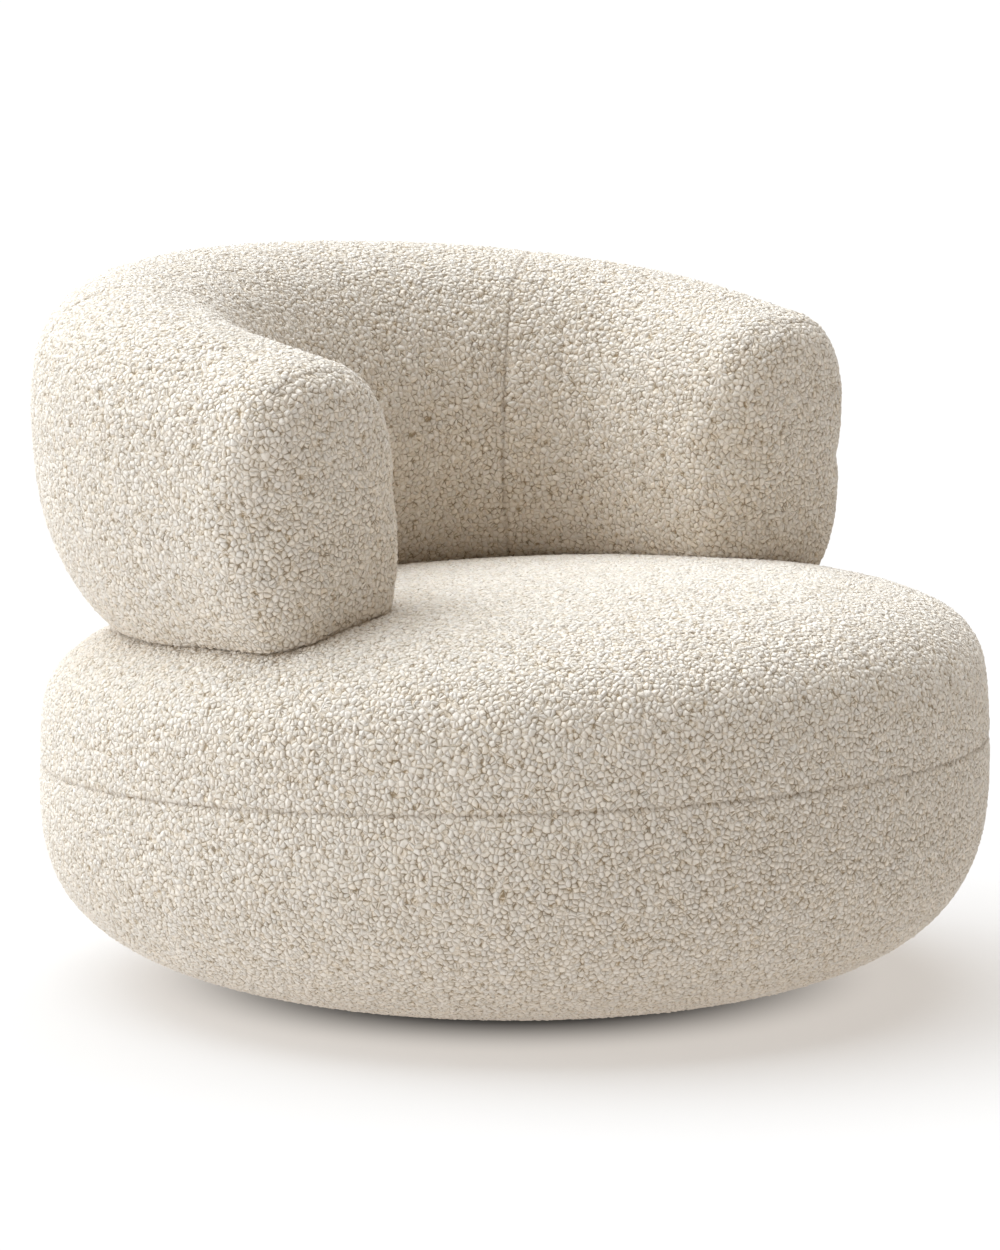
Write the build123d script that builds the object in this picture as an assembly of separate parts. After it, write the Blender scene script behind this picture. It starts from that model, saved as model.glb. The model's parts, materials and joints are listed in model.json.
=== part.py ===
from build123d import *
import math
import os

# Round swivel lounge chair: a cushioned round base on a hidden turntable plinth, with a
# horseshoe-shaped padded back and arms bolted on top.  Millimetres, +Z up, front towards -Y.
# The origin is on the floor, on the swivel axis.

# Base cushion
base_radius = 490.0
seam_height = 241.0          # the widest level, where the two base covers are sewn together
crown_height = 417.0
bulge_low = -2.4             # where the lower curve would end if the underside were not flat
underside_height = 6.0
upper_radial_power = 2.76
upper_height_power = 3.29
lower_power = 3.33
outline_steps = 14           # points along each half of the cushion's outline
profile_spans = 7            # the outline is drawn as this many joined curves

# Horseshoe back
arm_offset_x = 341.0         # half distance between the two arm centrelines
rear_offset_y = 294.0        # from the bend centre to the rear centreline
bend_centre_y = 68.0
arm_straight = 101.0
end_round = 59.0             # rounding of the arm ends
rear_thickness = 269.0
arm_thickness = 228.0
rear_top = 735.0
arm_top = 671.0
back_bottom = 347.0
top_fall_power = 1.9
upper_section_power = 2.48
lower_section_power = 2.03
rear_lean = 0.116            # outward lean, as a part of the height above the section's middle
arm_lean = 0.054
section_points = 28

# Fabric and foam
cover_thickness = 3.0
layer_gap = 0.3
panel_half_angle = 58.0      # the rear panel's two seams, either side of the rear centre
end_seam_inset = 22.0        # the arm end panels' seam, behind the arm tips

# Plinth and turntable
glide_radius = 18.0
glide_height = 5.0
glide_circle = 195.0
glide_count = 6
plinth_radius = 232.0
plinth_thickness = 15.0
plate_outer_radius = 150.0
plate_inner_radius = 80.0
plate_thickness = 3.0
bearing_gap = 6.0
ball_radius = 3.6
ball_circle = 120.0
ball_count = 24
groove_radius = 4.0
cage_thickness = 1.6
plate_fastener_circle = 100.0
plinth_screw_count = 6
bolt_count = 4
bolt_radius = 3.0
bolt_head_radius = 5.5
bolt_head_height = 2.6
bolt_end = 52.5
tee_nut_radius = 4.1
tee_flange_radius = 9.5
tee_flange_height = 1.5

# Base frame
board_thickness = 18.0
board_radius = 345.0
foot_ring_inner = 242.0
foot_ring_bottom = 10.5
foot_ring_foot = 260.0       # its outer radius at the bottom
foot_ring_head = 324.0       # and where it meets the base board
hub_radius = 78.0
hub_height = 60.0
rib_count = 6
rib_thickness = 18.0
rib_shoulder = (395.0, 108.0)     # where the rib's outer edge bends, as radius and height
rib_arch = (285.0, 160.0)         # where its inner edge bends
rib_hub_reach = 200.0             # how far its top runs level from the hub
rib_hole_place = (330.0, 140.0)
rib_hole_radius = 28.0
deck_inner_radius = 300.0
deck_outer_radius = 420.0
deck_top = 240.0
strap_width = 50.0
strap_thickness = 2.0
strap_spacing = 105.0
strap_count = 4
staple_width = 11.0
staple_wire = 1.2
deck_cloth_top = 246.2
core_radius = 310.0
core_top = 360.0

# Back frame
rail_half_width = 38.0
rail_thickness = 18.0
lower_rail_bottom = 406.0
upper_rail_bottom = 606.0
skin_thickness = 3.0
frame_front_y = -42.0
former_angles = (-68.0, -34.0, 0.0, 34.0, 68.0)
arm_former_y = -32.0
rod_radius = 5.0
rod_overrun = 14.0           # rod left past the clamped boards at each end
rod_washer = 2.5
rod_washer_radius = 15.0
nut_height = 8.0
nut_flat_radius = 8.5
rod_angles = (-48.0, -17.9, 17.9, 48.0)
arm_rod_y = 12.0

# Levels that follow from the sizes above
plinth_top = glide_height + plinth_thickness
lower_plate_top = plinth_top + plate_thickness
upper_plate_bottom = lower_plate_top + bearing_gap
board_bottom = upper_plate_bottom + plate_thickness
board_top = board_bottom + board_thickness
deck_bottom = deck_top - board_thickness
ball_height = lower_plate_top + bearing_gap / 2
arm_tip_y = bend_centre_y - arm_straight - end_round
lower_rail_top = lower_rail_bottom + rail_thickness
upper_rail_top = upper_rail_bottom + rail_thickness


def write(name, shape):
    """Write one node's solids to its own file."""
    export_step(shape, "parts/" + name + ".step")


def turned(points):
    """A solid of revolution about the swivel axis, from (radius, height) points."""
    outline = Polyline(*[(r, 0, z) for r, z in points], close=True)
    return revolve(make_face(outline), Axis.Z, 360)


def disc(radius, low, high):
    return Pos(0, 0, low) * Cylinder(radius, high - low, align=(Align.CENTER, Align.CENTER, Align.MIN))


def ring(inner, outer, low, high):
    return disc(outer, low, high) - disc(inner, low - 1, high + 1)


def on_circle(radius, count, start=0.0):
    """Places spaced evenly round the swivel axis."""
    places = []
    for i in range(count):
        angle = math.radians(start + 360.0 * i / count)
        places.append((radius * math.cos(angle), radius * math.sin(angle)))
    return places


def base_profile(inset):
    """The cushion's half outline, from the bottom centre to the crown, drawn in by inset."""
    outline = []
    for i in range(-outline_steps, outline_steps + 1):
        angle = math.radians(90.0 * i / outline_steps)
        c = max(math.cos(angle), 0.0)
        s = abs(math.sin(angle))
        if i < 0:
            r = base_radius * c ** (2 / lower_power)
            z = seam_height - (seam_height - bulge_low) * s ** (2 / lower_power)
        else:
            r = base_radius * c ** (2 / upper_radial_power)
            z = seam_height + (crown_height - seam_height) * s ** (2 / upper_height_power)
        outline.append((r, z))
    if inset == 0:
        return outline
    moved = []
    for i, (r, z) in enumerate(outline):
        before = outline[max(i - 1, 0)]
        after = outline[min(i + 1, len(outline) - 1)]
        run = (after[0] - before[0], after[1] - before[1])
        length = math.hypot(*run)
        moved.append((max(r - inset * run[1] / length, 0.0), z + inset * run[0] / length))
    moved[0] = (0.0, bulge_low + inset)
    moved[-1] = (0.0, crown_height - inset)
    return moved


def heading(points, i):
    """The outline's direction at one of its points."""
    return (points[i + 1] - points[i - 1]).normalized()


def base_form(inset, spans=profile_spans):
    """The whole cushion drawn in by inset, flat underneath, its outline in so many curves."""
    points = [Vector(r, 0, z) for r, z in base_profile(inset)]
    span = (len(points) - 1) // spans
    sides = []
    for start in range(0, len(points) - 1, span):
        run = points[start:start + span + 1]
        first = (1, 0, 0) if start == 0 else heading(points, start)
        last = (-1, 0, 0) if start + span == len(points) - 1 else heading(points, start + span)
        sides.append(Spline(*run, tangents=[first, last]))
    axis = Line(points[-1], points[0])
    form = revolve(make_face(sides + [axis]), Axis.Z, 360)
    floor_cut = underside_height + inset
    return form & Pos(0, 0, floor_cut) * Box(1200, 1200, 600, align=(Align.CENTER, Align.CENTER, Align.MIN))


def smooth(t):
    return t * t * (3 - 2 * t)


def section(angle, along, inset, drawn_in):
    """One closed cross-section of the horseshoe: angle from the rear, then along the arm."""
    bend_length = math.pi / 4 * (arm_offset_x + rear_offset_y)
    travel = abs(math.radians(angle)) * (arm_offset_x + rear_offset_y) / 2 + min(along, arm_straight)
    part = travel / (bend_length + arm_straight)
    blend = smooth(part)
    half_width = (rear_thickness + (arm_thickness - rear_thickness) * blend) / 2 - inset - drawn_in
    top = rear_top + (arm_top - rear_top) * part ** top_fall_power
    middle = (top + back_bottom) / 2
    half_height = (top - back_bottom) / 2 - inset - 0.9 * drawn_in
    lean = rear_lean + (arm_lean - rear_lean) * blend
    place, side = centreline(angle, along)
    points = []
    for i in range(section_points):
        turn = 2 * math.pi * i / section_points
        power = upper_section_power if i <= section_points // 2 else lower_section_power
        across = math.copysign(abs(math.cos(turn)) ** (2 / power), math.cos(turn))
        up = math.copysign(abs(math.sin(turn)) ** (2 / power), math.sin(turn))
        out = half_width * across + lean * up * half_height
        points.append((place[0] + side[0] * out, place[1] + side[1] * out, middle + half_height * up))
    return Wire([Spline(*points, periodic=True)])


def centreline(angle, along=0.0):
    """A place on the horseshoe's centreline, and the outward direction there, in plan."""
    a = math.radians(angle)
    tangent = (arm_offset_x * math.cos(a), -rear_offset_y * math.sin(a))
    length = math.hypot(*tangent)
    side = (-tangent[1] / length, tangent[0] / length)
    place = (arm_offset_x * math.sin(a), bend_centre_y + rear_offset_y * math.cos(a) - along)
    return place, side


def back_form(inset):
    """The whole horseshoe drawn in by inset, before the base cushion is cut from it."""
    tip = end_round - inset
    end = []
    for step in range(5, 0, -1):
        turn = math.radians(18.0 * step)
        end.append((arm_straight + tip * math.sin(turn), tip * (1 - math.cos(turn)) * 0.999))
    for along in (arm_straight, arm_straight / 2):
        end.append((along, 0.0))
    places = [(-90.0, along, drawn) for along, drawn in end]
    places += [(-90.0 + 11.25 * i, 0.0, 0.0) for i in range(17)]
    places += [(90.0, along, drawn) for along, drawn in reversed(end)]
    return Solid.make_loft([section(a, along, inset, drawn) for a, along, drawn in places])


def d_shape(offset, front):
    """Plan area inside the horseshoe's centreline moved out by offset, closed at the front."""
    rx = arm_offset_x + offset
    ry = rear_offset_y + offset
    bend = Pos(0, bend_centre_y) * Ellipse(rx, ry)
    rear_half = bend & Pos(0, bend_centre_y + 500) * Rectangle(1400, 1000)
    arms = Pos(0, (bend_centre_y + front) / 2) * Rectangle(2 * rx, bend_centre_y - front)
    return rear_half + arms


def horseshoe(inner, outer, low, high, front=frame_front_y):
    """An upright horseshoe wall between two offsets of the centreline."""
    plan = d_shape(outer, front) - d_shape(inner, front - 1)
    return Pos(0, 0, low) * extrude(plan, high - low)


def make_plinth():
    glide_places = [(0.0, 0.0)] + on_circle(glide_circle, glide_count, 30.0)
    glides = [Pos(x, y, 0) * chamfered_glide() for x, y in glide_places]
    write("floor_glides", Compound(children=glides))

    screw = countersunk_screw(3.0, 10.0)
    screw_places = on_circle(plate_fastener_circle, plinth_screw_count, 15.0)
    screws = [Pos(x, y, lower_plate_top) * screw for x, y in screw_places]
    all_screws = Compound(children=screws)
    plinth = disc(plinth_radius, glide_height, plinth_top)
    plinth = chamfer(plinth.edges().group_by(Axis.Z)[-1], 2.0)
    write("plinth_disc", plinth - all_screws)
    write("plinth_screws", all_screws)

    groove = Pos(0, 0, ball_height) * Torus(ball_circle, groove_radius)
    lower = ring(plate_inner_radius, plate_outer_radius, plinth_top, lower_plate_top)
    write("swivel_lower_plate", lower - groove - all_screws)
    return groove


def chamfered_glide():
    glide = Cylinder(glide_radius, glide_height, align=(Align.CENTER, Align.CENTER, Align.MIN))
    return chamfer(glide.edges().group_by(Axis.Z)[0], 1.0)


def countersunk_screw(shank_radius, length):
    """A flush screw, its head's top at the origin and its shank pointing down."""
    points = [(0, 0), (shank_radius * 2, 0), (shank_radius, -3), (shank_radius, -length), (0, -length - 2)]
    return turned(points)


def make_bearing():
    balls = [Pos(x, y, ball_height) * Sphere(ball_radius) for x, y in on_circle(ball_circle, ball_count)]
    write("bearing_balls", Compound(children=balls))
    half = cage_thickness / 2
    cage = ring(ball_circle - 8, ball_circle + 8, ball_height - half, ball_height + half)
    for x, y in on_circle(ball_circle, ball_count):
        cage -= Pos(x, y, ball_height) * Cylinder(ball_radius + 0.15, 4)
    write("ball_cage", cage)


def make_swivel_top(groove):
    """The upper plate, its bolts and the tee nuts that hold it to the base board."""
    places = on_circle(plate_fastener_circle, bolt_count, 45.0)
    head_low = upper_plate_bottom - bolt_head_height
    bore = bolt_radius + 0.1
    bolt = turned([
        (0, head_low),
        (bolt_head_radius, head_low),
        (bolt_head_radius, upper_plate_bottom),
        (bolt_radius, upper_plate_bottom),
        (bolt_radius, bolt_end),
        (0, bolt_end),
    ])
    nut = turned([
        (bore, board_top - 10),
        (tee_nut_radius, board_top - 10),
        (tee_nut_radius, board_top),
        (tee_flange_radius, board_top),
        (tee_flange_radius, board_top + tee_flange_height),
        (bore, board_top + tee_flange_height),
    ])
    bolts = Compound(children=[Pos(x, y, 0) * bolt for x, y in places])
    nuts = Compound(children=[Pos(x, y, 0) * nut for x, y in places])
    write("swivel_bolts", bolts)
    write("swivel_tee_nuts", nuts)
    plate = ring(plate_inner_radius, plate_outer_radius, upper_plate_bottom, board_bottom) - groove
    board = disc(board_radius, board_bottom, board_top)
    for x, y in places:
        plate -= Pos(x, y, board_bottom) * Cylinder(bore, 20)
        board -= Pos(x, y, board_bottom) * Cylinder(tee_nut_radius + 0.1, 60)
    write("swivel_upper_plate", plate)
    write("base_board", board)


def make_base_frame(rods):
    foot = turned([
        (foot_ring_inner, foot_ring_bottom),
        (foot_ring_foot, foot_ring_bottom),
        (foot_ring_head, board_bottom),
        (foot_ring_inner, board_bottom),
    ])
    write("foot_ring", foot)
    write("hub_block", disc(hub_radius, board_top, board_top + hub_height))
    rib_outline = [
        (hub_radius + 0.5, board_top),
        (board_radius, board_top),
        rib_shoulder,
        (deck_outer_radius - 1, deck_bottom),
        (deck_inner_radius + 2, deck_bottom),
        rib_arch,
        (rib_hub_reach, board_top + hub_height),
        (hub_radius + 0.5, board_top + hub_height),
    ]
    flat = make_face(Polyline(*[(r, 0, z) for r, z in rib_outline], close=True))
    rib = extrude(flat, rib_thickness / 2, dir=(0, 1, 0), both=True)
    hole_x, hole_z = rib_hole_place
    rib -= Pos(hole_x, 0, hole_z) * Rot(90, 0, 0) * Cylinder(rib_hole_radius, 60)
    for i in range(rib_count):
        write("base_rib_" + str(i + 1), Rot(0, 0, 360 / rib_count * (i + 0.5)) * rib)
    deck = ring(deck_inner_radius, deck_outer_radius, deck_bottom, deck_top)
    return deck - rods


def strap(index):
    """One webbing strap along X, woven over and under the straps that cross it.

    The count is even, so a quarter turn of the set swaps over for under at every crossing.
    """
    middle_of_set = (strap_count - 1) / 2
    offset = (index - middle_of_set) * strap_spacing
    reach = math.sqrt((deck_outer_radius - 12) ** 2 - (abs(offset) + strap_width / 2) ** 2)
    low = deck_top
    lift = strap_thickness + 0.6
    points = [(-reach, low)]
    for i in range(strap_count):
        crossing = (i - middle_of_set) * strap_spacing
        level = low + lift if (i + index) % 2 == 0 else low + 0.2
        points += [(crossing - strap_width / 2 - 2, level), (crossing + strap_width / 2 + 2, level)]
    points.append((reach, low))
    lower_line = [(x, 0, z) for x, z in points]
    upper_line = [(x, 0, z + strap_thickness) for x, z in reversed(points)]
    side = make_face(Polyline(*lower_line, *upper_line, close=True))
    body = extrude(side, strap_width / 2, dir=(0, 1, 0), both=True)
    return Pos(0, offset, 0) * body, offset, reach


def staple_set(offset, reach):
    """Two staples at each end of a strap: a crown on the strap and two legs into the ring."""
    places = []
    for end in (-1, 1):
        for across in (-strap_width / 4, strap_width / 4):
            places.append((end * (reach - 8), offset + across))
    staple = Pos(0, 0, strap_thickness + 0.5) * Box(staple_wire, staple_width, 1.0)
    for leg in (-1, 1):
        leg_y = leg * (staple_width - staple_wire) / 2
        staple += Pos(0, leg_y, -3.5) * Box(staple_wire, staple_wire, 13)
    return [Pos(x, y, deck_top) * staple for x, y in places]


def make_webbing(deck):
    staples = []
    straps = []
    for way, turn in (("crosswise", 0), ("lengthwise", 90)):
        for i in range(strap_count):
            body, offset, reach = strap(i)
            straps.append(("webbing_" + way + "_" + str(i + 1), Rot(0, 0, turn) * body))
            staples += [Rot(0, 0, turn) * s for s in staple_set(offset, reach)]
    group = Compound(children=staples)
    for name, body in straps:
        write(name, body - group)
    write("webbing_staples", group)
    write("deck_ring", deck - group)


def make_base_soft(rods):
    cloth = disc(deck_outer_radius, deck_cloth_top - 1.2, deck_cloth_top)
    write("deck_cloth", cloth - rods)
    core = disc(core_radius, deck_cloth_top + layer_gap, core_top)
    write("seat_core_foam", core)

    padding = base_form(cover_thickness + layer_gap)
    slab = Pos(0, 0, deck_cloth_top + layer_gap)
    above = slab * Box(1200, 1200, 400, align=(Align.CENTER, Align.CENTER, Align.MIN))
    core_room = disc(core_radius + layer_gap, deck_cloth_top, core_top + layer_gap)
    write("seat_topper_foam", (padding & above) - core_room - rods)

    shoulder_radius, shoulder_height = rib_shoulder
    foot_room = foot_ring_foot + 6
    frame_room = turned([
        (0, -10),
        (foot_room, -10),
        (foot_room, foot_ring_bottom + 1.5),
        (foot_ring_head + 2, board_bottom - 1),
        (board_radius + 2, board_bottom - 1),
        (board_radius + 2, board_top),
        (shoulder_radius + 3, shoulder_height),
        (deck_outer_radius + 3, deck_bottom),
        (deck_outer_radius + 3, 300),
        (0, 300),
    ])
    below = Pos(0, 0, deck_cloth_top) * Box(1200, 1200, 400, align=(Align.CENTER, Align.CENTER, Align.MAX))
    write("base_side_foam", (padding & below) - frame_room)

    shell = base_form(0) - base_form(cover_thickness)
    upper_half = Pos(0, 0, seam_height) * Box(1200, 1200, 400, align=(Align.CENTER, Align.CENTER, Align.MIN))
    write("seat_cover", (shell & upper_half) - rods)
    opening = disc(foot_ring_inner + 1, -1, 30)
    write("base_cover", shell - upper_half - opening)
    write("dust_cover", ring(plate_outer_radius + 4, foot_ring_inner - 2, board_bottom - 1.2, board_bottom))


def rod_places():
    places = [centreline(a)[0] for a in rod_angles]
    places += [(-arm_offset_x, arm_rod_y), (arm_offset_x, arm_rod_y)]
    return places


def tie_rods(radius, low, high):
    rods = [Pos(x, y, 0) * disc(radius, low, high) for x, y in rod_places()]
    return Compound(children=rods)


def hex_nut(low):
    plan = RegularPolygon(nut_flat_radius, 6, major_radius=False) - Circle(rod_radius + 0.1)
    return Pos(0, 0, low) * extrude(plan, nut_height)


def make_tie_rods():
    """Threaded rods clamp the back's lower rail to the deck ring through the seat padding."""
    write("back_tie_rods", tie_rods(rod_radius, deck_bottom - rod_overrun, lower_rail_top + rod_overrun))
    washers = []
    nuts = []
    for x, y in rod_places():
        for low in (deck_bottom - rod_washer, lower_rail_top):
            washer = ring(rod_radius + 0.3, rod_washer_radius, low, low + rod_washer)
            washers.append(Pos(x, y, 0) * washer)
        nuts.append(Pos(x, y, 0) * hex_nut(deck_bottom - rod_washer - nut_height))
        nuts.append(Pos(x, y, 0) * hex_nut(lower_rail_top + rod_washer))
    write("back_tie_washers", Compound(children=washers))
    write("back_tie_nuts", Compound(children=nuts))


def former(place, side):
    """An upright plywood former across the horseshoe, between the two rails."""
    height = upper_rail_bottom - lower_rail_top
    turn = math.degrees(math.atan2(side[1], side[0]))
    board = Box(2 * rail_half_width - 6, rail_thickness, height)
    board -= Rot(90, 0, 0) * Cylinder(20, 40)
    return Pos(place[0], place[1], lower_rail_top + height / 2) * Rot(0, 0, turn) * board


def make_back_frame(rods):
    w = rail_half_width
    write("back_lower_rail", horseshoe(-w, w, lower_rail_bottom, lower_rail_top) - rods)
    write("back_upper_rail", horseshoe(-w, w, upper_rail_bottom, upper_rail_top))
    places = [centreline(a) for a in former_angles]
    places += [((-arm_offset_x, arm_former_y), (-1, 0)), ((arm_offset_x, arm_former_y), (1, 0))]
    for i, (place, side) in enumerate(places):
        write("back_former_" + str(i + 1), former(place, side))
    inner_face = -w - layer_gap
    outer_face = w + layer_gap
    t = skin_thickness
    write("back_inner_skin", horseshoe(inner_face - t, inner_face, lower_rail_bottom, upper_rail_top))
    write("back_outer_skin", horseshoe(outer_face, outer_face + t, lower_rail_bottom, upper_rail_top))


def make_back_foam(seat, rods):
    padding = back_form(cover_thickness + layer_gap) - seat
    room = rail_half_width + 2 * layer_gap + skin_thickness
    split = upper_rail_top + layer_gap
    cavity = horseshoe(-room, room, lower_rail_bottom - layer_gap, split, frame_front_y - layer_gap)
    above = Pos(0, 0, split) * Box(1400, 1400, 400, align=(Align.CENTER, Align.CENTER, Align.MIN))
    write("back_top_foam", padding & above)
    lower = padding - above - cavity
    ends_y = frame_front_y - layer_gap
    ends = Pos(0, ends_y, 0) * Box(1400, 400, 2000, align=(Align.CENTER, Align.MAX, Align.CENTER))
    for name, x in (("right", -400), ("left", 400)):
        write("arm_end_foam_" + name, lower & ends & Pos(x, 0, 0) * Box(800, 1400, 2000))
    around = lower - ends
    inside = Pos(0, 0, 200) * extrude(d_shape(0, -600), 600)
    write("back_inner_foam", (around & inside) - rods)
    write("back_outer_foam", (around - inside) - rods)


def make_back_cover(seat):
    shell = back_form(0) - seat - back_form(cover_thickness)
    ends = Box(1400, 400, 2000, align=(Align.CENTER, Align.MAX, Align.CENTER))
    ends = Pos(0, arm_tip_y + end_seam_inset, 0) * ends
    reach = 900 * math.tan(math.radians(panel_half_angle))
    wedge = make_face(Polyline((0, 0), (-reach, 900), (reach, 900), close=True))
    wedge = Pos(0, bend_centre_y, -100) * extrude(wedge, 1200)
    write("back_cover_centre", shell & wedge)
    arms = shell - wedge
    for name, x in (("right", -400), ("left", 400)):
        one_side = arms & Pos(x, 0, 0) * Box(800, 1600, 2000)
        write("back_cover_" + name, one_side - ends)
        write("arm_end_cover_" + name, one_side & ends)


def main():
    os.makedirs("parts", exist_ok=True)
    rods = tie_rods(rod_radius + 0.5, deck_bottom - 30, lower_rail_top + 30)
    seat = base_form(-layer_gap, 1)
    groove = make_plinth()
    make_bearing()
    make_swivel_top(groove)
    make_webbing(make_base_frame(rods))
    make_base_soft(rods)
    make_tie_rods()
    make_back_frame(rods)
    make_back_foam(seat, rods)
    make_back_cover(seat)


main()
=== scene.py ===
import json
import math

import bmesh
import bpy
import numpy as np
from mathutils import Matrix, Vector
from mathutils.bvhtree import BVHTree


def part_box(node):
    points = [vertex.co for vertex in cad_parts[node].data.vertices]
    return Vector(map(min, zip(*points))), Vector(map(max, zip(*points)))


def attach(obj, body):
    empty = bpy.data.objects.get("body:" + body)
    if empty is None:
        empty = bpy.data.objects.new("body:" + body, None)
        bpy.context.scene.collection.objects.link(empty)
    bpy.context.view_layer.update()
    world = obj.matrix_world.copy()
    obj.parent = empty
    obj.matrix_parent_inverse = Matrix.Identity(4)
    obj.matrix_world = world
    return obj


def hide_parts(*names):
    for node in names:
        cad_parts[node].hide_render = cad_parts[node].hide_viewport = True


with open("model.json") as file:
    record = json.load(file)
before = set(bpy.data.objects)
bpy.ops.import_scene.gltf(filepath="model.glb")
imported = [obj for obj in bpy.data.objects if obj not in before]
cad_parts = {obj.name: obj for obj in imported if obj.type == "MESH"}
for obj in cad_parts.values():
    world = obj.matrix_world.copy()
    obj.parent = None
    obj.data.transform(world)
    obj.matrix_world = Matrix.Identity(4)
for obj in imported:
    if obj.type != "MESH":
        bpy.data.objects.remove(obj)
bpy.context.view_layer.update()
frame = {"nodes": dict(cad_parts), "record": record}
scene = bpy.context.scene
scene.view_settings.view_transform = "Standard"
print("frame loaded:", len(frame["nodes"]), "nodes")


# wiring of materials and of the pile's geometry nodes

def wire(tree, source, target):
    tree.links.new(source, target)


def feed(tree, socket, value):
    # a plain value is set on the socket, and anything else is wired to it
    if isinstance(value, (int, float, tuple)):
        socket.default_value = value
    else:
        wire(tree, value, socket)


def mathNode(tree, operation, *values):
    node = tree.nodes.new("ShaderNodeMath")
    node.operation = operation
    for socket, value in zip(node.inputs, values):
        feed(tree, socket, value)
    return node.outputs[0]


def vectorNode(tree, operation, *values):
    node = tree.nodes.new("ShaderNodeVectorMath")
    node.operation = operation
    for socket, value in zip(node.inputs, values):
        feed(tree, socket, value)
    return node.outputs[0]


def scaleNode(tree, vector, factor):
    node = tree.nodes.new("ShaderNodeVectorMath")
    node.operation = "SCALE"
    wire(tree, vector, node.inputs[0])
    feed(tree, node.inputs["Scale"], factor)
    return node.outputs[0]


def noiseNode(tree, place, scale, detail=1.0, roughness=0.5):
    node = tree.nodes.new("ShaderNodeTexNoise")
    wire(tree, place, node.inputs["Vector"])
    node.inputs["Scale"].default_value = scale
    node.inputs["Detail"].default_value = detail
    node.inputs["Roughness"].default_value = roughness
    return node


def cellNode(tree, place, scale, feature="F1"):
    node = tree.nodes.new("ShaderNodeTexVoronoi")
    node.feature = feature
    wire(tree, place, node.inputs["Vector"])
    node.inputs["Scale"].default_value = scale
    return node


def rampNode(tree, factor, *stops):
    node = tree.nodes.new("ShaderNodeValToRGB")
    ramp = node.color_ramp
    while len(ramp.elements) < len(stops):
        ramp.elements.new(0.5)
    for element, (position, colour) in zip(ramp.elements, stops):
        element.position = position
        element.color = (*colour, 1.0)
    wire(tree, factor, node.inputs["Fac"])
    return node.outputs["Color"]


def attributeNode(tree, name):
    node = tree.nodes.new("ShaderNodeAttribute")
    node.attribute_name = name
    return node


def raised(tree, shader, height, distance, strength=0.5):
    node = tree.nodes.new("ShaderNodeBump")
    node.inputs["Strength"].default_value = strength
    node.inputs["Distance"].default_value = distance
    wire(tree, height, node.inputs["Height"])
    wire(tree, node.outputs["Normal"], shader.inputs["Normal"])


camera = {
    "azimuth": -46.96,  # degrees from straight in front, towards the sitter's right
    "distance": 5.777,
    "height": 1.221,
    "aim": (-0.0147, 0.3633),  # across and up, from the swivel axis
    "lens": 163.8,
    "sensor": 36.0,
    "clipEnd": 100.0,
}


def aimAt(thing, target):
    thing.rotation_euler = (Vector(target) - thing.location).to_track_quat("-Z", "Y").to_euler()


def makeCamera():
    turn = math.radians(camera["azimuth"])
    data = bpy.data.cameras.new("viewCamera")
    data.lens = camera["lens"]
    data.sensor_width = camera["sensor"]
    data.clip_end = camera["clipEnd"]
    thing = bpy.data.objects.new("viewCamera", data)
    scene.collection.objects.link(thing)
    thing.location = (
        math.sin(turn) * camera["distance"],
        -math.cos(turn) * camera["distance"],
        camera["height"],
    )
    across, up = camera["aim"]
    aimAt(thing, (math.cos(turn) * across, math.sin(turn) * across, up))
    scene.camera = thing


studio = {
    "sky": 0.24,
    "skyColour": (1.0, 0.85, 0.68, 1.0),
    "lights": {  # strength, where it shines from, and degrees across, for soft shadows
        "topLight": (3.9, (0.08, 0.34, 0.92), 70.0),
        "sideLight": (2.45, (-0.62, 0.72, 0.50), 80.0),
    },
    "lightColour": (0.86, 0.93, 1.0),
    "floorColour": (0.35, 0.35, 0.35, 1.0),
    "floorRoughness": 0.9,
    "floorSpecular": 0.1,
    "floorHalfSize": 60.0,
    "floorCuts": 8,
    "floorGlow": 0.50,  # keeps the floor white where the lights alone would leave it grey
    "glowColour": (1.0, 0.95, 0.90, 1.0),
    "paintedShadowCore": 0.21,  # painted contact shadow: the glow fades away under the chair, between these radii
    "paintedShadowEdge": 0.385,
}


def makeLights():
    world = bpy.data.worlds.new("studioSky")
    world.use_nodes = True
    world.node_tree.nodes["Background"].inputs["Color"].default_value = studio["skyColour"]
    world.node_tree.nodes["Background"].inputs["Strength"].default_value = studio["sky"]
    scene.world = world
    for name, (strength, shinesFrom, across) in studio["lights"].items():
        light = bpy.data.lights.new(name, "SUN")
        light.energy = strength
        light.color = studio["lightColour"]
        light.angle = math.radians(across)
        thing = bpy.data.objects.new(name, light)
        thing.location = shinesFrom
        scene.collection.objects.link(thing)
        aimAt(thing, (0.0, 0.0, 0.0))


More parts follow.
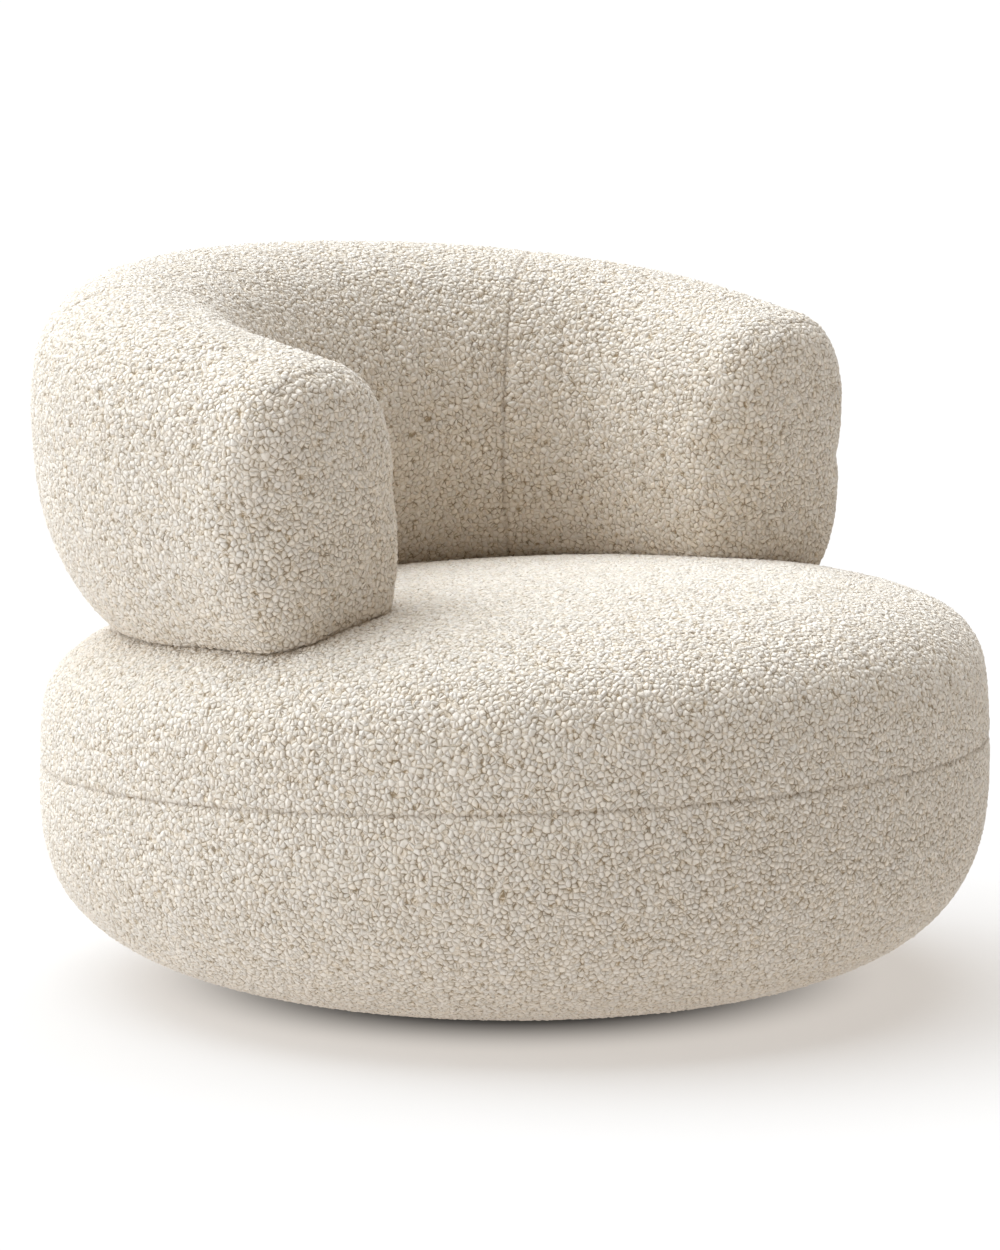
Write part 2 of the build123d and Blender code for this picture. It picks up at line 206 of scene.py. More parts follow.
def floorFinish():
    material = bpy.data.materials.new("paleFloor")
    material.use_nodes = True
    tree = material.node_tree
    shader = tree.nodes["Principled BSDF"]
    shader.inputs["Base Color"].default_value = studio["floorColour"]
    shader.inputs["Roughness"].default_value = studio["floorRoughness"]
    shader.inputs["Specular IOR Level"].default_value = studio["floorSpecular"]
    shader.inputs["Emission Color"].default_value = studio["glowColour"]
    where = tree.nodes.new("ShaderNodeTexCoord")
    reach = tree.nodes.new("ShaderNodeVectorMath")
    reach.operation = "LENGTH"
    wire(tree, where.outputs["Object"], reach.inputs[0])
    # painted contact shadow: the floor's glow is taken away under the chair, none inside the inner radius
    # and full beyond the outer one
    glowWithPaintedShadow = tree.nodes.new("ShaderNodeMapRange")
    glowWithPaintedShadow.interpolation_type = "SMOOTHSTEP"
    glowWithPaintedShadow.inputs["From Min"].default_value = studio["paintedShadowCore"]
    glowWithPaintedShadow.inputs["From Max"].default_value = studio["paintedShadowEdge"]
    glowWithPaintedShadow.inputs["To Max"].default_value = studio["floorGlow"]
    wire(tree, reach.outputs["Value"], glowWithPaintedShadow.inputs["Value"])
    wire(tree, glowWithPaintedShadow.outputs["Result"], shader.inputs["Emission Strength"])
    return material


def makeFloor():
    bm = bmesh.new()
    cuts = studio["floorCuts"]
    bmesh.ops.create_grid(bm, x_segments=cuts, y_segments=cuts, size=studio["floorHalfSize"])
    mesh = bpy.data.meshes.new("floor")
    bm.to_mesh(mesh)
    bm.free()
    floor = bpy.data.objects.new("floor", mesh)
    scene.collection.objects.link(floor)
    mesh.materials.append(floorFinish())


makeCamera()
makeLights()
makeFloor()
print("camera and studio ready")


weldWithin = 0.00002  # points nearer than this are joined


def newPiece(name, mesh):
    piece = bpy.data.objects.new(name, mesh)
    scene.collection.objects.link(piece)
    return piece


def meshFrom(bm, name):
    bmesh.ops.remove_doubles(bm, verts=bm.verts[:], dist=weldWithin)
    bmesh.ops.recalc_face_normals(bm, faces=bm.faces[:])
    mesh = bpy.data.meshes.new(name)
    bm.to_mesh(mesh)
    bm.free()
    return mesh


def places(mesh):
    flat = np.empty(len(mesh.vertices) * 3, np.float32)
    mesh.vertices.foreach_get("co", flat)
    return flat.reshape(-1, 3).astype(float)


def normals(mesh):
    flat = np.empty(len(mesh.vertices) * 3, np.float32)
    mesh.vertex_normals.foreach_get("vector", flat)
    return flat.reshape(-1, 3).astype(float)


def setPlaces(mesh, points):
    mesh.vertices.foreach_set("co", points.astype(np.float32).ravel())
    mesh.update()


def keepNumber(mesh, name, values):
    layer = mesh.attributes.new(name, "FLOAT", "POINT")
    layer.data.foreach_set("value", values.astype(np.float32))


def bakeModifiers(piece):
    # the piece keeps its evaluated mesh, with no modifier left on it
    graph = bpy.context.evaluated_depsgraph_get()
    made = bpy.data.meshes.new_from_object(piece.evaluated_get(graph))
    old = piece.data
    piece.modifiers.clear()
    made.name = old.name + "Made"
    piece.data = made
    bpy.data.meshes.remove(old)


def remesh(piece, voxel):
    change = piece.modifiers.new("remesh", "REMESH")
    change.mode = "VOXEL"
    change.voxel_size = voxel
    change.use_smooth_shade = True
    bakeModifiers(piece)


def subdivide(piece, levels):
    change = piece.modifiers.new("finer", "SUBSURF")
    change.levels = levels
    change.render_levels = levels
    bakeModifiers(piece)


def smoothStep(t):
    t = np.clip(t, 0.0, 1.0)
    return t * t * (3 - 2 * t)


def power(value, p):
    return np.sign(value) * np.abs(value) ** (2.0 / p)


def nearLine(distance, width):
    # 1 on a line and fading away to each side of it
    return np.exp(-((distance / width) ** 2))


low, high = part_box("seat_cover")
seatPad = {
    "radius": high.x,
    "seam": low.z,
    "crown": high.z - 0.006,
    "belly": -0.0024,  # where the belly's curve would end below the flat underside
    "underside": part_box("base_cover")[0].z,
    "recess": 0.243,
    "recessTop": 0.040,
    "recessEdge": 0.004,
    "sidePower": 3.15,
    "domePower": 4.6,
    "bellyPower": 3.33,
    "frontLift": 0.075,  # the front rises and the rear drops by this part of their height
    "liftFrom": -0.012,  # the level that stays flat
    "liftBy": 0.12,  # the lift is full from this height up
    "profileSteps": 40,
    "spinSteps": 120,
    "inset": 0.004,
    "voxel": 0.009,
    "levels": 2,
    "held": (0.26, 0.06),  # radius and height of the underside that stays put as the pad swells
    "bare": (0.25, 0.045),  # radius and height of the recess, which has no pile
}


def seatProfile():
    s = seatPad
    rise = np.linspace(0.0, math.pi / 2, s["profileSteps"])
    r = s["radius"] * np.cos(rise) ** (2 / s["bellyPower"])
    z = s["seam"] - (s["seam"] - s["belly"]) * np.sin(rise) ** (2 / s["bellyPower"])
    keep = z > s["underside"]
    lower = list(zip(r[keep], z[keep]))[::-1]
    r = s["radius"] * np.maximum(np.cos(rise), 0.0) ** (2 / s["sidePower"])
    z = s["seam"] + (s["crown"] - s["seam"]) * np.sin(rise) ** (2 / s["domePower"])
    upper = list(zip(r, z))[1:]
    start = [
        (0.0, s["recessTop"]),
        (s["recess"], s["recessTop"]),
        (s["recess"], s["underside"] + s["recessEdge"]),
        (s["recess"] + s["recessEdge"], s["underside"]),
    ]
    return start + lower + upper


def liftFront(y, z):
    # the pad's level rises towards the front, in proportion to its height
    s = seatPad
    return z - (z - s["liftFrom"]) * s["frontLift"] * y / s["radius"] * smoothStep(z / s["liftBy"])


def domeHeight(points):
    s = seatPad
    reach = np.hypot(points[:, 0], points[:, 1]) / s["radius"]
    part = np.clip(reach, 0.0, 1.0) ** (s["sidePower"] / 2)
    rise = np.sqrt(np.clip(1 - part ** 2, 0.0, 1.0))
    z = s["seam"] + (s["crown"] - s["seam"]) * rise ** (2 / s["domePower"])
    return liftFront(points[:, 1], z)


def withinSeat(points, radius, height):
    return (np.hypot(points[:, 0], points[:, 1]) < radius) & (points[:, 2] < height)


def makeSeatBlank():
    bm = bmesh.new()
    chain = [bm.verts.new((r, 0.0, z)) for r, z in seatProfile()]
    edges = [bm.edges.new(pair) for pair in zip(chain, chain[1:])]
    bmesh.ops.spin(
        bm, geom=chain + edges, cent=(0, 0, 0), axis=(0, 0, 1), dvec=(0, 0, 0),
        angle=2 * math.pi, steps=seatPad["spinSteps"], use_merge=True,
    )
    return newPiece("seat_upholstery", meshFrom(bm, "seatPad"))


backPad = {
    "armX": 0.341,
    "rearY": 0.294,
    "bendY": 0.068,
    "straight": 0.101,
    "endRound": 0.059,
    "endDrop": 0.75,  # how much of the end's rounding also lowers its top
    "endClose": 0.999,  # the last loop stops just short of a point
    "rearWide": 0.269,
    "armWide": 0.228,
    "rearTop": 0.735,
    "armTop": 0.671,
    "bottom": 0.347,
    "topFall": 1.9,
    "crestPower": 2.8,
    "footPower": 2.03,
    "endFootPower": 2.45,  # the section is squarer underneath at the arms' ends
    "rearLean": 0.100,
    "armLean": 0.068,
    "ringPoints": 56,
    "endSteps": 6,
    "bendSteps": 30,
    "inset": 0.004,
    "voxel": 0.009,
    "levels": 2,
    "pressIn": 0.001,  # how far the back sinks into the seat pad
    "heldWithin": 0.004,  # what lies this near the seat stays put as the back swells
    "bareWithin": 0.0005,
    "barePile": 0.2,
}


def backRing(bm, angle, along, drawnIn):
    # one loop of the back's cross-section: angle from the rear centre, then along the arm
    b = backPad
    a = math.radians(angle)
    bend = math.pi / 4 * (b["armX"] + b["rearY"])
    travel = abs(a) * (b["armX"] + b["rearY"]) / 2 + min(along, b["straight"])
    part = travel / (bend + b["straight"])
    blend = float(smoothStep(part))
    inset = b["inset"]
    halfWide = (b["rearWide"] + (b["armWide"] - b["rearWide"]) * blend) / 2 - inset - drawnIn
    top = b["rearTop"] + (b["armTop"] - b["rearTop"]) * part ** b["topFall"]
    middle = (top + b["bottom"]) / 2
    halfHigh = (top - b["bottom"]) / 2 - inset - b["endDrop"] * drawnIn
    lean = b["rearLean"] + (b["armLean"] - b["rearLean"]) * blend
    foot = b["footPower"] + (b["endFootPower"] - b["footPower"]) * float(smoothStep(2 * part - 1))
    tangent = Vector((b["armX"] * math.cos(a), -b["rearY"] * math.sin(a))).normalized()
    side = Vector((-tangent.y, tangent.x))
    place = Vector((b["armX"] * math.sin(a), b["bendY"] + b["rearY"] * math.cos(a) - along))
    count = b["ringPoints"]
    loop = bmesh.ops.create_circle(bm, cap_ends=False, radius=1.0, segments=count)["verts"]
    for i, vert in enumerate(loop):
        turn = 2 * math.pi * i / count
        shape = b["crestPower"] if math.sin(turn) >= 0 else foot
        across = float(power(math.cos(turn), shape))
        up = float(power(math.sin(turn), shape))
        out = halfWide * across + lean * up * halfHigh
        vert.co = (place.x + side.x * out, place.y + side.y * out, middle + halfHigh * up)
    return loop


def makeBackBlank():
    b = backPad
    tip = b["endRound"] - b["inset"]
    end = []
    for step in range(b["endSteps"], 0, -1):
        turn = math.radians(90.0 / b["endSteps"] * step)
        end.append((b["straight"] + tip * math.sin(turn), tip * (1 - math.cos(turn)) * b["endClose"]))
    end += [(b["straight"], 0.0), (b["straight"] / 2, 0.0)]
    between = 180.0 / b["bendSteps"]
    stations = [(-90.0, along, drawn) for along, drawn in end]
    stations += [(-90.0 + between * i, 0.0, 0.0) for i in range(b["bendSteps"] + 1)]
    stations += [(90.0, along, drawn) for along, drawn in reversed(end)]
    bm = bmesh.new()
    before = None
    for number, (angle, along, drawn) in enumerate(stations):
        loop = backRing(bm, angle, along, drawn)
        ring = list({edge for vert in loop for edge in vert.link_edges if edge.other_vert(vert) in loop})
        if number in (0, len(stations) - 1):
            bmesh.ops.contextual_create(bm, geom=ring)
        if before:
            bmesh.ops.bridge_loops(bm, edges=before + ring)
        before = ring
    return newPiece("back_upholstery", meshFrom(bm, "backPad"))


searchAbove = 0.03  # only what is nearer than this to the seat's dome is tried against it


def restOnSeat(piece, ground):
    # whatever of the back would lie inside the seat pad is pushed up onto its dome
    points = places(piece.data)
    near = np.nonzero(points[:, 2] < domeHeight(points) + searchAbove)[0]
    for i in near:
        x, y, z = points[i]
        hit = ground.ray_cast(Vector((x, y, 1.0)), Vector((0, 0, -1)))[0]
        if hit is not None and z < hit.z - backPad["pressIn"]:
            points[i, 2] = hit.z - backPad["pressIn"]
    setPlaces(piece.data, points)


swell = {
    "pressure": 4.0,
    "frames": 20,
    "mass": 0.3,
    "tension": 40.0,
    "heldFrom": 0.02,  # a hold weaker than this isn't felt
    "most": 0.009,  # the swelling is scaled down until no point moves further
}


def puffUp(piece, held):
    # a cloth run that fills the cover out, held along its seams and where it is fixed
    points = places(piece.data)
    group = piece.vertex_groups.new(name="held")
    for i in np.nonzero(held > swell["heldFrom"])[0]:
        group.add([int(i)], float(held[i]), "REPLACE")
    cloth = piece.modifiers.new("cloth", "CLOTH")
    cloth.settings.use_pressure = True
    cloth.settings.uniform_pressure_force = swell["pressure"]
    cloth.settings.mass = swell["mass"]
    cloth.settings.tension_stiffness = swell["tension"]
    cloth.settings.compression_stiffness = swell["tension"]
    cloth.settings.vertex_group_mass = "held"
    cloth.settings.effector_weights.gravity = 0.0
    cloth.collision_settings.use_collision = False
    cloth.point_cache.frame_end = swell["frames"]
    for step in range(1, swell["frames"] + 1):
        scene.frame_set(step)
    bakeModifiers(piece)
    scene.frame_set(1)
    moved = places(piece.data) - points
    reach = float(np.linalg.norm(moved, axis=1).max())
    share = min(1.0, swell["most"] / reach)
    print("  cloth moved by up to", round(reach * 1000, 1), "mm, and", round(share, 2), "of that is kept")
    setPlaces(piece.data, points + moved * share)
    piece.vertex_groups.clear()


nubs = {
    "spacing": 0.0054,  # from one loop of yarn to the next
    "roundness": 0.38,  # how far a loop's round shoulder reaches in from its edge, in spacings
    "height": 0.0027,
    "pitSpacing": 0.0050,
    "crumple": 0.0022,  # how far a loop's outline strays from even
    "crumpleSpacing": 0.0045,
    "domeShare": 0.62,
    "pitShare": 0.78,
    "sunk": 0.11,
}


def loopPattern(tree, place):
    # height of the looped pile, 0 in the pits and about 1 on the crowns, and one colour per loop
    drift = noiseNode(tree, place, 1 / nubs["crumpleSpacing"], 2.0, 0.6).outputs["Color"]
    drift = scaleNode(tree, vectorNode(tree, "SUBTRACT", drift, (0.5, 0.5, 0.5)), nubs["crumple"])
    bent = vectorNode(tree, "ADD", place, drift)
    loop = cellNode(tree, bent, 1 / nubs["spacing"])
    edge = cellNode(tree, bent, 1 / nubs["spacing"], "DISTANCE_TO_EDGE").outputs["Distance"]
    edge = mathNode(tree, "MINIMUM", mathNode(tree, "DIVIDE", edge, nubs["roundness"]), 1.0)
    dome = mathNode(tree, "MULTIPLY", edge, mathNode(tree, "SUBTRACT", 2.0, edge))
    pits = noiseNode(tree, place, 1 / nubs["pitSpacing"], 0.0).outputs["Fac"]
    pits = mathNode(tree, "MULTIPLY", pits, nubs["pitShare"])
    height = mathNode(tree, "MULTIPLY_ADD", dome, nubs["domeShare"], pits)
    height = mathNode(tree, "SUBTRACT", height, nubs["sunk"])
    return height, loop.outputs["Color"]


def raiseLoops(piece):
    # the pile is lifted off the cover as real relief, and the flat place is kept for the finish
    tree = bpy.data.node_groups.new("raiseLoops", "GeometryNodeTree")
    tree.interface.new_socket(name="Geometry", in_out="INPUT", socket_type="NodeSocketGeometry")
    tree.interface.new_socket(name="Geometry", in_out="OUTPUT", socket_type="NodeSocketGeometry")
    start = tree.nodes.new("NodeGroupInput")
    finish = tree.nodes.new("NodeGroupOutput")
    place = tree.nodes.new("GeometryNodeInputPosition").outputs[0]
    normal = tree.nodes.new("GeometryNodeInputNormal").outputs[0]
    keep = tree.nodes.new("GeometryNodeStoreNamedAttribute")
    keep.data_type = "FLOAT_VECTOR"
    keep.domain = "POINT"
    keep.inputs["Name"].default_value = "clothPlace"
    wire(tree, start.outputs[0], keep.inputs["Geometry"])
    wire(tree, place, keep.inputs["Value"])
    height, _ = loopPattern(tree, place)
    pile = tree.nodes.new("GeometryNodeInputNamedAttribute")
    pile.data_type = "FLOAT"
    pile.inputs["Name"].default_value = "pile"
    lift = mathNode(tree, "MULTIPLY", height, nubs["height"])
    lift = mathNode(tree, "MULTIPLY", lift, pile.outputs["Attribute"])
    move = tree.nodes.new("GeometryNodeSetPosition")
    wire(tree, keep.outputs["Geometry"], move.inputs["Geometry"])
    wire(tree, scaleNode(tree, normal, lift), move.inputs["Offset"])
    wire(tree, move.outputs["Geometry"], finish.inputs[0])
    change = piece.modifiers.new("pile", "NODES")
    change.node_group = tree
    bakeModifiers(piece)


seams = {
    "groove": 0.0010,
    "grooveWide": 0.0024,
    "dip": 0.0004,
    "dipWide": 0.014,
    "shade": 0.38,  # how much painted shade darkens the cloth along the seam's groove
    "paintedSeamShade": (0.45, 0.38, 0.30, 1.0),
    "pileLoss": 0.5,  # how much of the pile the thread presses flat
    "hold": 0.12,  # how firmly the thread holds against the padding
    "holdWide": 0.010,
    "seatFrom": 0.4,  # the seat's seam is sewn outside this radius
    "panelAngle": 58.0,
    "panelFade": 0.05,
    "endInset": 0.022,
    "endShown": (0.12, 0.5),  # low down on the arm's end, and how much more near its top
    "endTop": (0.58, 0.06),  # where that change begins, and over what height
}


def sewIn(mesh, distance, share):
    # draws the cover in along a seam: a narrow groove in the middle of a wide shallow dip
    points = places(mesh)
    out = normals(mesh)
    narrow = nearLine(distance, seams["grooveWide"]) * share
    wide = nearLine(distance, seams["dipWide"]) * share
    depth = seams["groove"] * narrow + seams["dip"] * wide
    setPlaces(mesh, points - out * depth[:, None])
    return narrow


def seatSeamDistance(points):
    level = liftFront(points[:, 1], np.full(len(points), seatPad["seam"]))
    outside = np.hypot(points[:, 0], points[:, 1]) > seams["seatFrom"]
    return points[:, 2] - level, outside.astype(float)


def panelSeamDistance(points, sign):
    a = math.radians(seams["panelAngle"]) * sign
    across = points[:, 0] * math.cos(a) - (points[:, 1] - backPad["bendY"]) * math.sin(a)
    ahead = points[:, 0] * math.sin(a) + (points[:, 1] - backPad["bendY"]) * math.cos(a)
    return across, smoothStep(ahead / seams["panelFade"])


def endSeamDistance(points):
    tip = backPad["bendY"] - backPad["straight"] - backPad["endRound"]
    return points[:, 1] - (tip + seams["endInset"])


def giveSeamsAndPile(mesh, narrow, bare, barePile):
    keepNumber(mesh, "pile", np.where(bare, barePile, 1.0 - seams["pileLoss"] * narrow))
    keepNumber(mesh, "seam", narrow)


def makeSeat():
    piece = makeSeatBlank()
    remesh(piece, seatPad["voxel"])
    points = places(piece.data)
    points -= normals(piece.data) * seatPad["inset"]
    points[:, 2] = liftFront(points[:, 1], points[:, 2])
    setPlaces(piece.data, points)
    puffUp(piece, withinSeat(points, *seatPad["held"]).astype(float))
    ground = BVHTree.FromPolygons(
        [Vector(p) for p in places(piece.data)], [tuple(f.vertices) for f in piece.data.polygons]
    )
    subdivide(piece, seatPad["levels"])
    points = places(piece.data)
    narrow = sewIn(piece.data, *seatSeamDistance(points))
    giveSeamsAndPile(piece.data, narrow, withinSeat(points, *seatPad["bare"]), 0.0)
    raiseLoops(piece)
    return piece, ground


def makeBack(ground):
    piece = makeBackBlank()
    restOnSeat(piece, ground)
    remesh(piece, backPad["voxel"])
    points = places(piece.data)
    held = (points[:, 2] < domeHeight(points) + backPad["heldWithin"]).astype(float)
    for sign in (-1, 1):
        distance, share = panelSeamDistance(points, sign)
        held = np.maximum(held, seams["hold"] * nearLine(distance, seams["holdWide"]) * share)
    held = np.maximum(held, seams["hold"] * nearLine(endSeamDistance(points), seams["holdWide"]))
    puffUp(piece, held)
    subdivide(piece, backPad["levels"])
    restOnSeat(piece, ground)
    points = places(piece.data)
    narrow = np.zeros(len(points))
    for sign in (-1, 1):
        narrow = np.maximum(narrow, sewIn(piece.data, *panelSeamDistance(points, sign)))
    least, more = seams["endShown"]
    start, over = seams["endTop"]
    shown = least + more * smoothStep((points[:, 2] - start) / over)
    narrow = np.maximum(narrow, sewIn(piece.data, endSeamDistance(points), shown))
    onSeat = points[:, 2] < domeHeight(points) + backPad["bareWithin"]
    giveSeamsAndPile(piece.data, narrow, onSeat, backPad["barePile"])
    raiseLoops(piece)
    return piece


clothLook = {
    "roughness": 0.95,
    "specular": 0.15,
    "sheen": 0.35,
    "sheenRoughness": 0.5,
    "sheenTint": (1.0, 0.96, 0.90, 1.0),
    # painted shade: the ramp darkens the yarn from crown through shoulder down into the pits between loops,
    # where the loops shade each other
    "paintedPitShade": (0.20, (0.41, 0.32, 0.215)),
    "shoulder": (0.40, (0.80, 0.70, 0.575)),
    "crown": (0.72, (0.92, 0.845, 0.75)),
    "brightness": (0.12, 0.94),  # how far loops differ from each other, and the least
    "richness": (0.35, 0.82),
    "fibreSpacing": 0.0011,
    "fibreShare": 0.18,
    "relief": 0.8,
}


def loopedFabric():
    material = bpy.data.materials.new("loopedFabric")
    material.use_nodes = True
    tree = material.node_tree
    shader = tree.nodes["Principled BSDF"]
    shader.inputs["Roughness"].default_value = clothLook["roughness"]
    shader.inputs["Specular IOR Level"].default_value = clothLook["specular"]
    shader.inputs["Sheen Weight"].default_value = clothLook["sheen"]
    shader.inputs["Sheen Roughness"].default_value = clothLook["sheenRoughness"]
    shader.inputs["Sheen Tint"].default_value = clothLook["sheenTint"]
    place = attributeNode(tree, "clothPlace").outputs["Vector"]
    height, loopColour = loopPattern(tree, place)

    tint = tree.nodes.new("ShaderNodeHueSaturation")
    # the yarn's colour with painted shade, darker down in the pits between loops
    yarnWithPaintedPitShade = rampNode(tree, height, clothLook["paintedPitShade"], clothLook["shoulder"], clothLook["crown"])
    wire(tree, yarnWithPaintedPitShade, tint.inputs["Color"])
    each = tree.nodes.new("ShaderNodeSeparateColor")
    wire(tree, loopColour, each.inputs[0])
    brightness = mathNode(tree, "MULTIPLY_ADD", each.outputs[0], *clothLook["brightness"])
    wire(tree, brightness, tint.inputs["Value"])
    richness = mathNode(tree, "MULTIPLY_ADD", each.outputs[1], *clothLook["richness"])
    wire(tree, richness, tint.inputs["Saturation"])

    # painted shade along the seams: the cloth is darkened where the seam's groove lies
    shade = tree.nodes.new("ShaderNodeMix")
    shade.data_type = "RGBA"
    shade.blend_type = "MULTIPLY"
    seam = attributeNode(tree, "seam").outputs["Fac"]
    wire(tree, mathNode(tree, "MULTIPLY", seam, seams["shade"]), shade.inputs["Factor"])
    wire(tree, tint.outputs["Color"], shade.inputs["A"])
    shade.inputs["B"].default_value = seams["paintedSeamShade"]
    wire(tree, shade.outputs["Result"], shader.inputs["Base Color"])

    fibre = noiseNode(tree, place, 1 / clothLook["fibreSpacing"], 2.0, 0.6).outputs["Fac"]
    relief = mathNode(tree, "MULTIPLY_ADD", fibre, clothLook["fibreShare"], height)
    raised(tree, shader, relief, nubs["height"], clothLook["relief"])
    return material


# finishes of the parts under the covers

def newFinish(name, roughness, metallic=0.0):
    material = bpy.data.materials.new(name)
    material.use_nodes = True
    tree = material.node_tree
    shader = tree.nodes["Principled BSDF"]
    shader.inputs["Roughness"].default_value = roughness
    shader.inputs["Metallic"].default_value = metallic
    place = tree.nodes.new("ShaderNodeTexCoord").outputs["Object"]
    return material, tree, shader, place


def stretched(tree, place, scale):
    node = tree.nodes.new("ShaderNodeMapping")
    node.inputs["Scale"].default_value = scale
    wire(tree, place, node.inputs["Vector"])
    return node.outputs["Vector"]


def bandsNode(tree, place, scale, axis, distortion=0.0):
    node = tree.nodes.new("ShaderNodeTexWave")
    node.bands_direction = axis
    wire(tree, place, node.inputs["Vector"])
    node.inputs["Scale"].default_value = scale
    node.inputs["Distortion"].default_value = distortion
    return node.outputs["Fac"]


def weaveNode(tree, place, scale):
    across = bandsNode(tree, place, scale, "X")
    return mathNode(tree, "MULTIPLY", across, bandsNode(tree, place, scale, "Y"))


def mixedColour(tree, factor, first, second):
    node = tree.nodes.new("ShaderNodeMix")
    node.data_type = "RGBA"
    wire(tree, factor, node.inputs["Factor"])
    wire(tree, first, node.inputs["A"])
    wire(tree, second, node.inputs["B"])
    return node.outputs["Result"]


def sumOf(tree, first, firstShare, second, secondShare):
    return mathNode(tree, "MULTIPLY_ADD", first, firstShare, mathNode(tree, "MULTIPLY", second, secondShare))


def coloured(tree, shader, factor, *stops):
    wire(tree, rampNode(tree, factor, *stops), shader.inputs["Base Color"])


def roughened(tree, shader, factor, span, least):
    wire(tree, mathNode(tree, "MULTIPLY_ADD", factor, span, least), shader.inputs["Roughness"])


def plywoodFinish():
    # long grain on the faces, thin plies on the edges
    material, tree, shader, place = newFinish("birchPlywood", 0.6)
    grain = noiseNode(tree, stretched(tree, place, (180.0, 9.0, 60.0)), 1.0, 4.0, 0.6).outputs["Fac"]
    face = rampNode(tree, grain, (0.3, (0.56, 0.40, 0.24)), (0.7, (0.76, 0.60, 0.41)))
    plies = bandsNode(tree, place, 105.0, "Z", 0.4)
    edge = rampNode(tree, plies, (0.3, (0.42, 0.28, 0.16)), (0.6, (0.72, 0.56, 0.37)))
    facing = tree.nodes.new("ShaderNodeSeparateXYZ")
    wire(tree, tree.nodes.new("ShaderNodeNewGeometry").outputs["Normal"], facing.inputs[0])
    level = mathNode(tree, "ABSOLUTE", facing.outputs["Z"])
    wire(tree, mixedColour(tree, level, edge, face), shader.inputs["Base Color"])
    raised(tree, shader, grain, 0.0004, 0.3)
    return material


def hardboardFinish():
    # fine pressed fibres with faint clouds in them
    material, tree, shader, place = newFinish("pressedHardboard", 0.55)
    fibres = noiseNode(tree, place, 900.0, 3.0, 0.7).outputs["Fac"]
    clouds = noiseNode(tree, place, 25.0, 2.0).outputs["Fac"]
    both = sumOf(tree, fibres, 0.6, clouds, 0.4)
    coloured(tree, shader, both, (0.3, (0.30, 0.19, 0.11)), (0.7, (0.48, 0.34, 0.21)))
    raised(tree, shader, fibres, 0.0003, 0.3)
    return material


def lacquerFinish():
    # black lacquer, with dust that dulls it in patches and the wood's grain just showing through
    material, tree, shader, place = newFinish("blackLacquer", 0.35)
    dust = noiseNode(tree, place, 60.0, 5.0, 0.65).outputs["Fac"]
    coloured(tree, shader, dust, (0.4, (0.016, 0.015, 0.014)), (0.75, (0.055, 0.050, 0.045)))
    roughened(tree, shader, dust, 0.35, 0.22)
    grain = noiseNode(tree, stretched(tree, place, (240.0, 12.0, 60.0)), 1.0, 3.0).outputs["Fac"]
    raised(tree, shader, grain, 0.0003, 0.25)
    return material


def webbingFinish():
    # jute and rubber webbing: a plain weave, stained unevenly
    material, tree, shader, place = newFinish("wovenWebbing", 0.85)
    weave = weaveNode(tree, place, 160.0)
    stain = noiseNode(tree, place, 90.0, 3.0).outputs["Fac"]
    both = sumOf(tree, stain, 0.5, weave, 0.6)
    coloured(tree, shader, both, (0.2, (0.17, 0.13, 0.085)), (0.7, (0.50, 0.42, 0.31)))
    raised(tree, shader, weave, 0.0008, 0.8)
    return material


def clothFinish(name, darkest, lightest):
    # thin bonded cloth, or foam's skin: pressed fibres with a fine dimpled grid
    material, tree, shader, place = newFinish(name, 0.9)
    fibres = noiseNode(tree, stretched(tree, place, (500.0, 900.0, 500.0)), 1.0, 4.0, 0.7).outputs["Fac"]
    both = sumOf(tree, weaveNode(tree, place, 130.0), 0.35, fibres, 0.7)
    coloured(tree, shader, both, (0.25, darkest), (0.75, lightest))
    raised(tree, shader, both, 0.0004, 0.5)
    return material


def plasticFinish(name, darkest, lightest, roughness):
    # moulded plastic: a fine texture with long faint scuffs
    material, tree, shader, place = newFinish(name, roughness)
    texture = noiseNode(tree, place, 1500.0, 2.0).outputs["Fac"]
    scuffs = noiseNode(tree, stretched(tree, place, (60.0, 260.0, 120.0)), 1.0, 4.0, 0.7).outputs["Fac"]
    coloured(tree, shader, scuffs, (0.35, darkest), (0.75, lightest))
    roughened(tree, shader, scuffs, 0.3, roughness - 0.12)
    raised(tree, shader, texture, 0.0001, 0.4)
    return material


def polishedSteelFinish():
    # bright steel with a thin smear of grease
    material, tree, shader, place = newFinish("polishedSteel", 0.12, 1.0)
    smears = noiseNode(tree, place, 300.0, 3.0).outputs["Fac"]
    coloured(tree, shader, smears, (0.3, (0.66, 0.66, 0.68)), (0.7, (0.80, 0.80, 0.82)))
    roughened(tree, shader, smears, 0.15, 0.05)
    return material


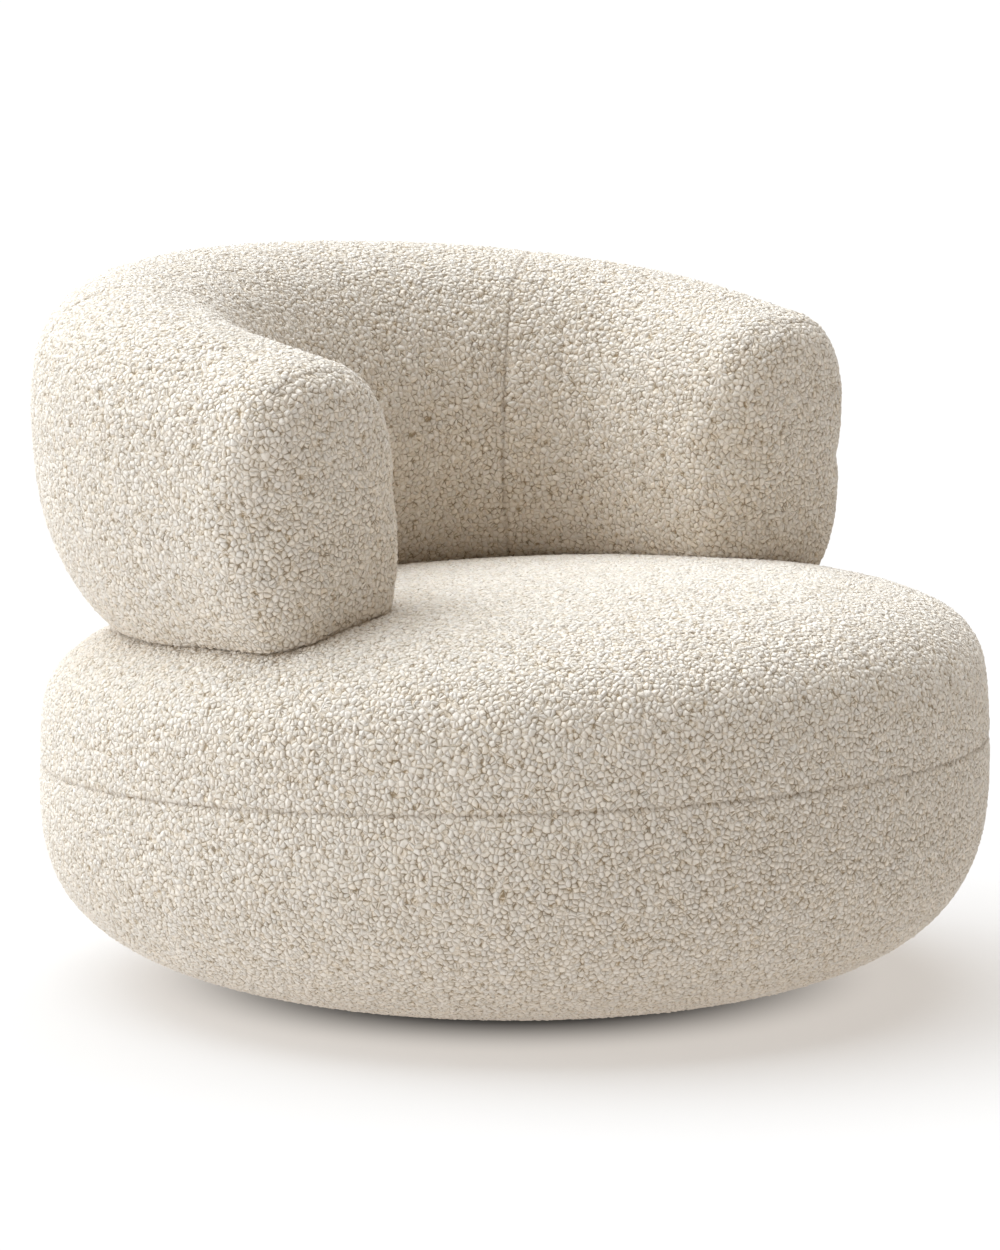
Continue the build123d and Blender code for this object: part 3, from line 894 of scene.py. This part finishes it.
def zincFinish(name, spangle, roughness, darkest, lightest):
    # plated sheet: flat crystals of slightly different brightness, with fine rolling marks
    material, tree, shader, place = newFinish(name, roughness, 1.0)
    crystals = tree.nodes.new("ShaderNodeSeparateColor")
    wire(tree, cellNode(tree, place, 1 / spangle).outputs["Color"], crystals.inputs[0])
    marks = noiseNode(tree, stretched(tree, place, (40.0, 1400.0, 400.0)), 1.0, 3.0).outputs["Fac"]
    both = sumOf(tree, marks, 0.4, crystals.outputs[0], 0.6)
    coloured(tree, shader, both, (0.2, darkest), (0.8, lightest))
    roughened(tree, shader, both, 0.25, roughness - 0.1)
    raised(tree, shader, marks, 0.0001, 0.3)
    return material


fabric = loopedFabric()
finishes = {
    "boucle": fabric,
    "plywood": plywoodFinish(),
    "hardboard": hardboardFinish(),
    "plinth_lacquer": lacquerFinish(),
    "webbing": webbingFinish(),
    "deck_cloth": clothFinish("deckCloth", (0.55, 0.52, 0.45), (0.82, 0.80, 0.74)),
    "dust_cloth": clothFinish("dustCloth", (0.020, 0.020, 0.021), (0.075, 0.074, 0.072)),
    "core_foam": clothFinish("denseFoam", (0.70, 0.62, 0.42), (0.88, 0.82, 0.62)),
    "wrap_foam": clothFinish("softFoam", (0.78, 0.75, 0.66), (0.92, 0.90, 0.83)),
    "glide_plastic": plasticFinish("glidePlastic", (0.020, 0.020, 0.022), (0.075, 0.074, 0.072), 0.5),
    "cage_plastic": plasticFinish("cagePlastic", (0.62, 0.61, 0.56), (0.80, 0.79, 0.74), 0.4),
    "bearing_steel": polishedSteelFinish(),
    "zinc_plate": zincFinish("zincPlate", 0.009, 0.38, (0.46, 0.47, 0.49), (0.74, 0.75, 0.78)),
    "fastener_steel": zincFinish("platedFasteners", 0.003, 0.34, (0.50, 0.48, 0.42), (0.76, 0.74, 0.66)),
}
for part in frame["record"]["subparts"]:
    for slot in frame["nodes"][part["node"]].material_slots:
        slot.material = finishes[part["material_slot"]]

seat, seatGround = makeSeat()
print("seat pad made:", len(seat.data.polygons), "faces")
back = makeBack(seatGround)
print("back pad made:", len(back.data.polygons), "faces")

for piece in (seat, back):
    piece.data.materials.clear()
    piece.data.materials.append(fabric)
    piece.data.polygons.foreach_set("material_index", [0] * len(piece.data.polygons))
    piece.data.polygons.foreach_set("use_smooth", [True] * len(piece.data.polygons))
    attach(piece, "chair")

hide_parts("seat_cover", "base_cover", "seat_topper_foam", "seat_core_foam", "base_side_foam")
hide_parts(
    "back_cover_centre", "back_cover_left", "back_cover_right", "arm_end_cover_left",
    "arm_end_cover_right", "back_top_foam", "back_inner_foam", "back_outer_foam",
    "arm_end_foam_left", "arm_end_foam_right",
)
